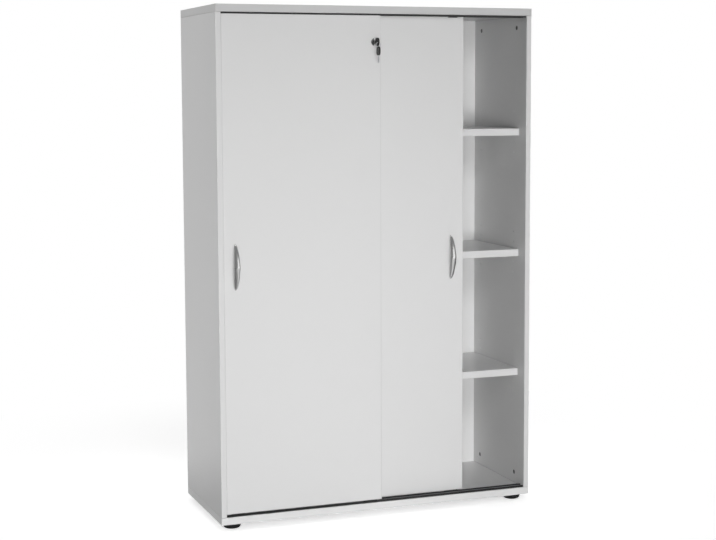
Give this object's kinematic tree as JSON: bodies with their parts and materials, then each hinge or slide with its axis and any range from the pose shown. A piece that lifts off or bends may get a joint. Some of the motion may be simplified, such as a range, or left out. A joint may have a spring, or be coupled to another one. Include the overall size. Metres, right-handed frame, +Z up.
{
  "type": "filing cupboard",
  "caption": "Upright office filing cupboard with sliding doors on rollers, bow handles, a cam lock with its keys, inner shelves and low round feet.",
  "frame": {"origin": "middle of the whole outline on the floor, at the underside of the feet", "axes": "+Z up, +Y from the doors to the back, +X to the right seen from the front"},
  "size_m": [1, 0.4366, 1.533],
  "materials": {
    "board": "chipboard with a light-grey melamine face, fine matt grain",
    "black_plastic": "black, slightly satin",
    "nylon": "natural nylon",
    "satin_nickel": "satin nickel plate",
    "chrome": "bright chrome plate",
    "bright_steel": "bright zinc or nickel plated steel"
  },
  "bodies": {
    "carcass": {"left_side_panel": "board", "right_side_panel": "board", "top_panel": "board", "bottom_panel": "board", "back_panel": "board", "lower_shelf": "board", "middle_shelf": "board", "upper_shelf": "board", "bottom_track": "black_plastic", "top_track": "black_plastic", "front_left_foot": "black_plastic", "front_right_foot": "black_plastic", "rear_left_foot": "black_plastic", "rear_right_foot": "black_plastic", "lower_shelf_front_left_pin": "bright_steel", "lower_shelf_front_right_pin": "bright_steel", "lower_shelf_rear_left_pin": "bright_steel", "lower_shelf_rear_right_pin": "bright_steel", "middle_shelf_front_left_pin": "bright_steel", "middle_shelf_front_right_pin": "bright_steel", "middle_shelf_rear_left_pin": "bright_steel", "middle_shelf_rear_right_pin": "bright_steel", "upper_shelf_front_left_pin": "bright_steel", "upper_shelf_front_right_pin": "bright_steel", "upper_shelf_rear_left_pin": "bright_steel", "upper_shelf_rear_right_pin": "bright_steel"},
    "left_door": {"left_door_panel": "board", "left_handle": "satin_nickel", "left_handle_lower_screw": "bright_steel", "left_handle_upper_screw": "bright_steel", "left_door_left_runner": "black_plastic", "left_door_left_axle": "bright_steel", "left_door_right_runner": "black_plastic", "left_door_right_axle": "bright_steel", "left_door_left_guide": "black_plastic", "left_door_right_guide": "black_plastic", "lock_housing": "chrome", "lock_nut": "bright_steel"},
    "right_door": {"right_door_panel": "board", "right_handle": "satin_nickel", "right_handle_lower_screw": "bright_steel", "right_handle_upper_screw": "bright_steel", "right_door_left_runner": "black_plastic", "right_door_left_axle": "bright_steel", "right_door_right_runner": "black_plastic", "right_door_right_axle": "bright_steel", "right_door_left_guide": "black_plastic", "right_door_right_guide": "black_plastic", "lock_keeper": "bright_steel"},
    "left_door_left_wheel_body": {"left_door_left_wheel": "nylon"},
    "left_door_right_wheel_body": {"left_door_right_wheel": "nylon"},
    "right_door_left_wheel_body": {"right_door_left_wheel": "nylon"},
    "right_door_right_wheel_body": {"right_door_right_wheel": "nylon"},
    "lock_core": {"lock_plug": "chrome", "lock_cam": "bright_steel"},
    "key": {"key_head": "black_plastic", "key_blade": "bright_steel"},
    "ring": {"key_ring": "bright_steel"},
    "spare_key": {"spare_key_head": "black_plastic", "spare_key_blade": "bright_steel"}
  },
  "joints": [
    {"name": "left_door_slide", "type": "slide", "parent": "carcass", "child": "left_door", "axis": [1, 0, 0], "range_m": [0, 0.228]},
    {"name": "right_door_slide", "type": "slide", "parent": "carcass", "child": "right_door", "axis": [1, 0, 0], "range_m": [-0.228, 0.1986]},
    {"name": "left_door_left_wheel_spin", "type": "hinge", "parent": "left_door", "child": "left_door_left_wheel_body", "pos_m": [-0.4466, -0.16775, 0.0498], "axis": [0, 1, 0], "continuous": true},
    {"name": "left_door_right_wheel_spin", "type": "hinge", "parent": "left_door", "child": "left_door_right_wheel_body", "pos_m": [-0.0295, -0.16775, 0.0498], "axis": [0, 1, 0], "continuous": true},
    {"name": "right_door_left_wheel_spin", "type": "hinge", "parent": "right_door", "child": "right_door_left_wheel_body", "pos_m": [-0.1691, -0.14775, 0.0498], "axis": [0, 1, 0], "continuous": true},
    {"name": "right_door_right_wheel_spin", "type": "hinge", "parent": "right_door", "child": "right_door_right_wheel_body", "pos_m": [0.248, -0.14775, 0.0498], "axis": [0, 1, 0], "continuous": true},
    {"name": "key_turn", "type": "hinge", "parent": "left_door", "child": "lock_core", "pos_m": [-0.0125, -0.17825, 1.428], "axis": [0, 1, 0], "range_deg": [0, 90]},
    {"name": "key_pull", "type": "slide", "parent": "lock_core", "child": "key", "axis": [0, -1, 0], "range_m": [0, 0.02]},
    {"name": "ring_swing", "type": "hinge", "parent": "key", "child": "ring", "pos_m": [-0.0125, -0.20625, 1.428], "axis": [1, 0, 0], "range_deg": [-30, 8]},
    {"name": "spare_key_swing", "type": "hinge", "parent": "ring", "child": "spare_key", "pos_m": [-0.0125, -0.20625, 1.4193], "axis": [0, 1, 0], "range_deg": [-90, 0]}
  ],
  "couplings": [
    {"joint": "left_door_left_wheel_spin", "follows": "left_door_slide", "rad_per_m": 111.11},
    {"joint": "left_door_right_wheel_spin", "follows": "left_door_slide", "rad_per_m": 111.11},
    {"joint": "right_door_left_wheel_spin", "follows": "right_door_slide", "rad_per_m": 111.11},
    {"joint": "right_door_right_wheel_spin", "follows": "right_door_slide", "rad_per_m": 111.11},
    {"joint": "spare_key_swing", "follows": "key_turn", "ratio": -1}
  ]
}
